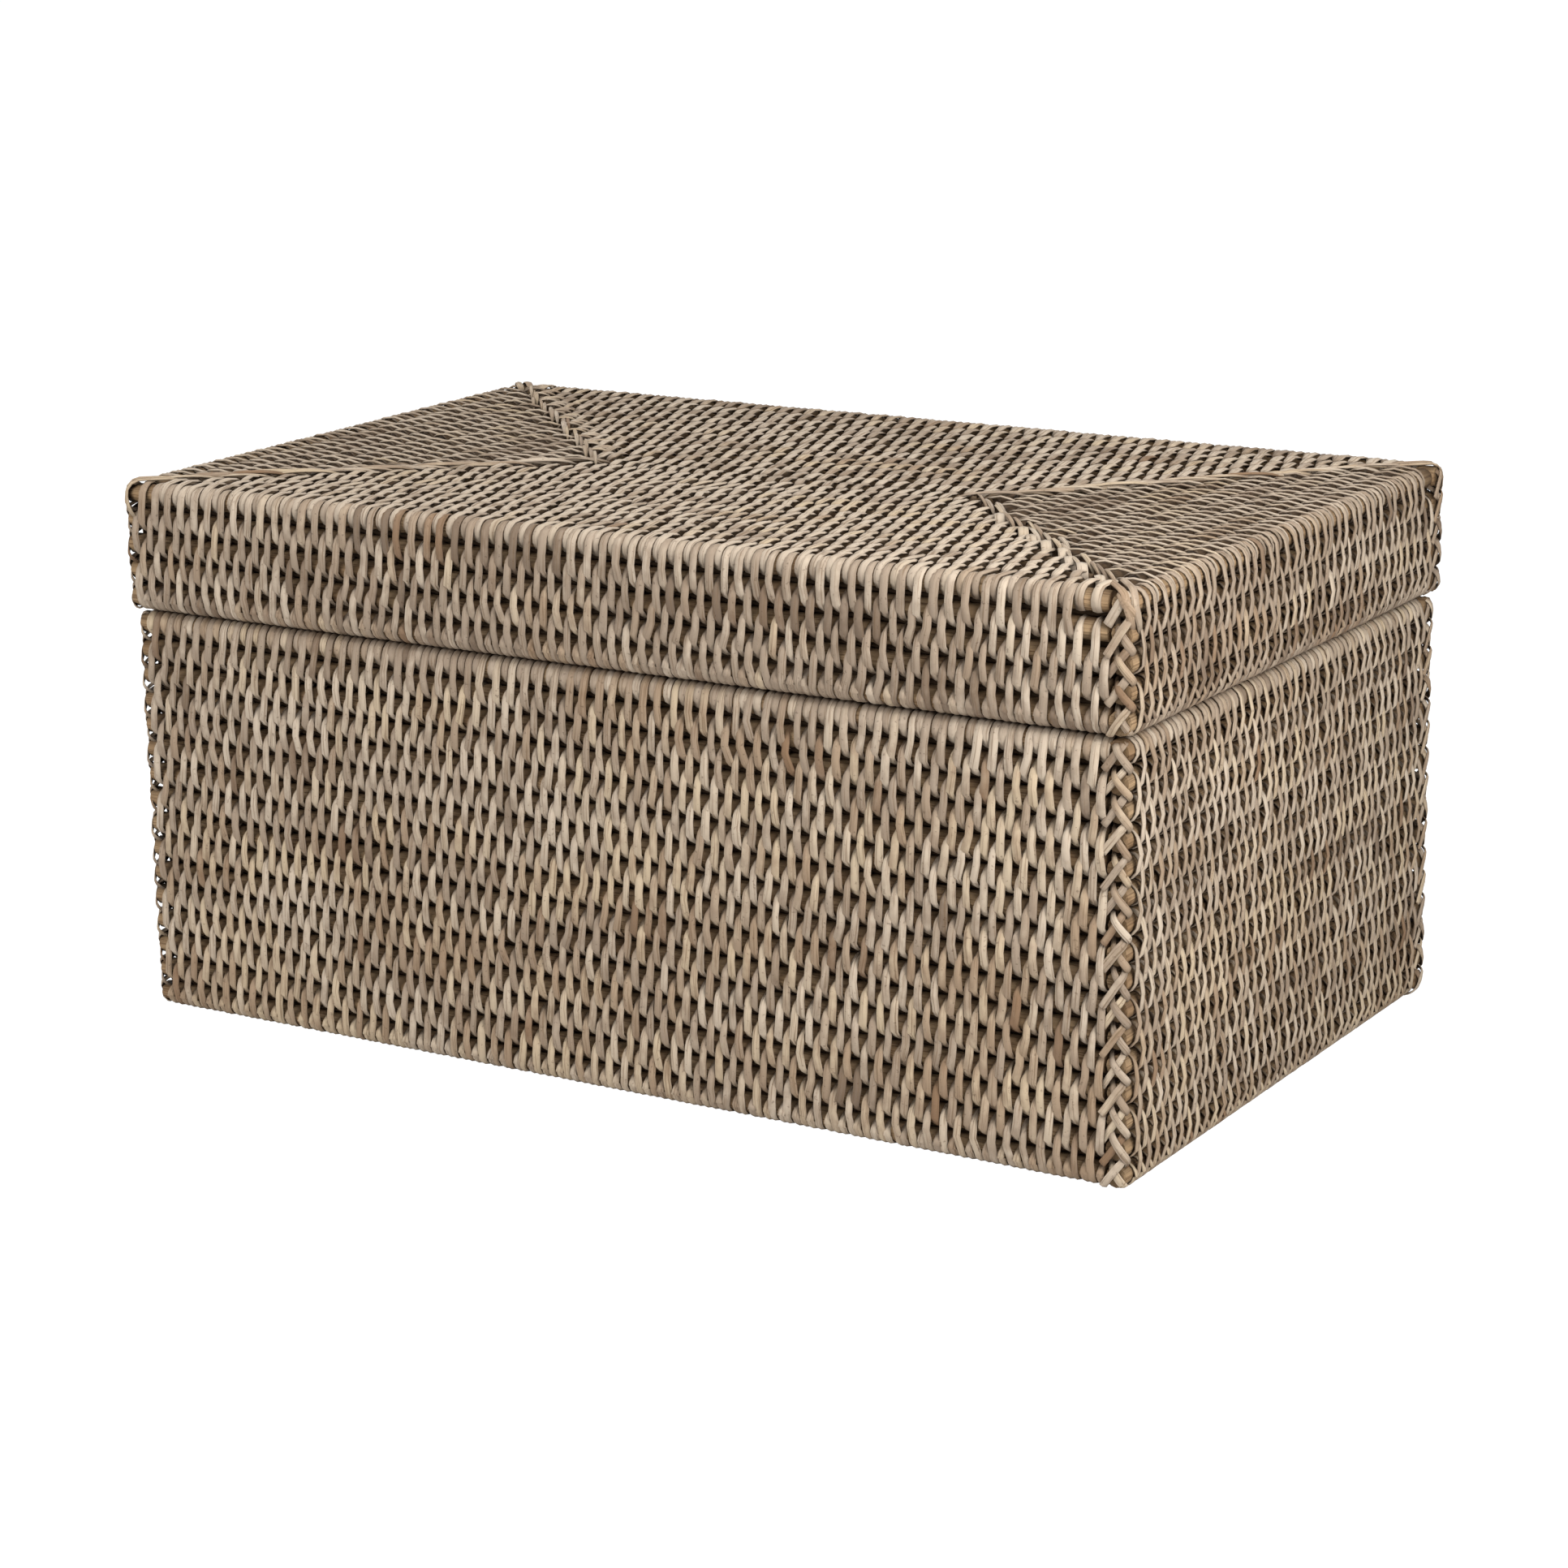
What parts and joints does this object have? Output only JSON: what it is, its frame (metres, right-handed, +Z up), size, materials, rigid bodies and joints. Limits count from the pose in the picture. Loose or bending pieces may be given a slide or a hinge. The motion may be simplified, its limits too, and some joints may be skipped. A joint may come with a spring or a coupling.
{
  "type": "woven lidded box",
  "caption": "Rectangular storage box of round rattan rods bound with split cane, with laced corners and a loose woven lid that lifts off.",
  "frame": {"origin": "centre of the underside", "axes": "+X along the box, +Z up, the front wall faces -Y"},
  "size_m": [0.46, 0.28, 0.2251],
  "materials": {
    "bound_cane": "weathered split cane bound over rods, matt",
    "wrapped_rod": "rod closely wrapped with split cane, matt",
    "laced_cane": "crossed split cane strips, matt",
    "collar_slat": "flat rattan slat, satin"
  },
  "bodies": {
    "base": {"base_floor": "bound_cane", "base_wall_front": "bound_cane", "base_wall_right": "bound_cane", "base_wall_back": "bound_cane", "base_wall_left": "bound_cane", "base_foot_rod_front": "wrapped_rod", "base_foot_rod_right": "wrapped_rod", "base_foot_rod_back": "wrapped_rod", "base_foot_rod_left": "wrapped_rod", "base_rim_rod_front": "wrapped_rod", "base_rim_rod_right": "wrapped_rod", "base_rim_rod_back": "wrapped_rod", "base_rim_rod_left": "wrapped_rod", "base_corner_lacing_front_right": "laced_cane", "base_corner_lacing_back_right": "laced_cane", "base_corner_lacing_back_left": "laced_cane", "base_corner_lacing_front_left": "laced_cane", "base_collar_slat_front": "collar_slat", "base_collar_slat_right": "collar_slat", "base_collar_slat_back": "collar_slat", "base_collar_slat_left": "collar_slat"},
    "lid": {"lid_wall_front": "bound_cane", "lid_wall_right": "bound_cane", "lid_wall_back": "bound_cane", "lid_wall_left": "bound_cane", "lid_rim_rod_front": "wrapped_rod", "lid_rim_rod_right": "wrapped_rod", "lid_rim_rod_back": "wrapped_rod", "lid_rim_rod_left": "wrapped_rod", "lid_edge_rod_front": "wrapped_rod", "lid_edge_rod_right": "wrapped_rod", "lid_edge_rod_back": "wrapped_rod", "lid_edge_rod_left": "wrapped_rod", "lid_top_front": "bound_cane", "lid_top_right": "bound_cane", "lid_top_back": "bound_cane", "lid_top_left": "bound_cane", "lid_hip_lacing_front_right": "laced_cane", "lid_hip_lacing_back_right": "laced_cane", "lid_hip_lacing_back_left": "laced_cane", "lid_hip_lacing_front_left": "laced_cane", "lid_corner_lacing_front_right": "laced_cane", "lid_corner_lacing_back_right": "laced_cane", "lid_corner_lacing_back_left": "laced_cane", "lid_corner_lacing_front_left": "laced_cane"}
  },
  "joints": [
    {"name": "lid_lift", "type": "slide", "parent": "base", "child": "lid", "axis": [0, 0, 1], "range_m": [0, 0.25]}
  ]
}
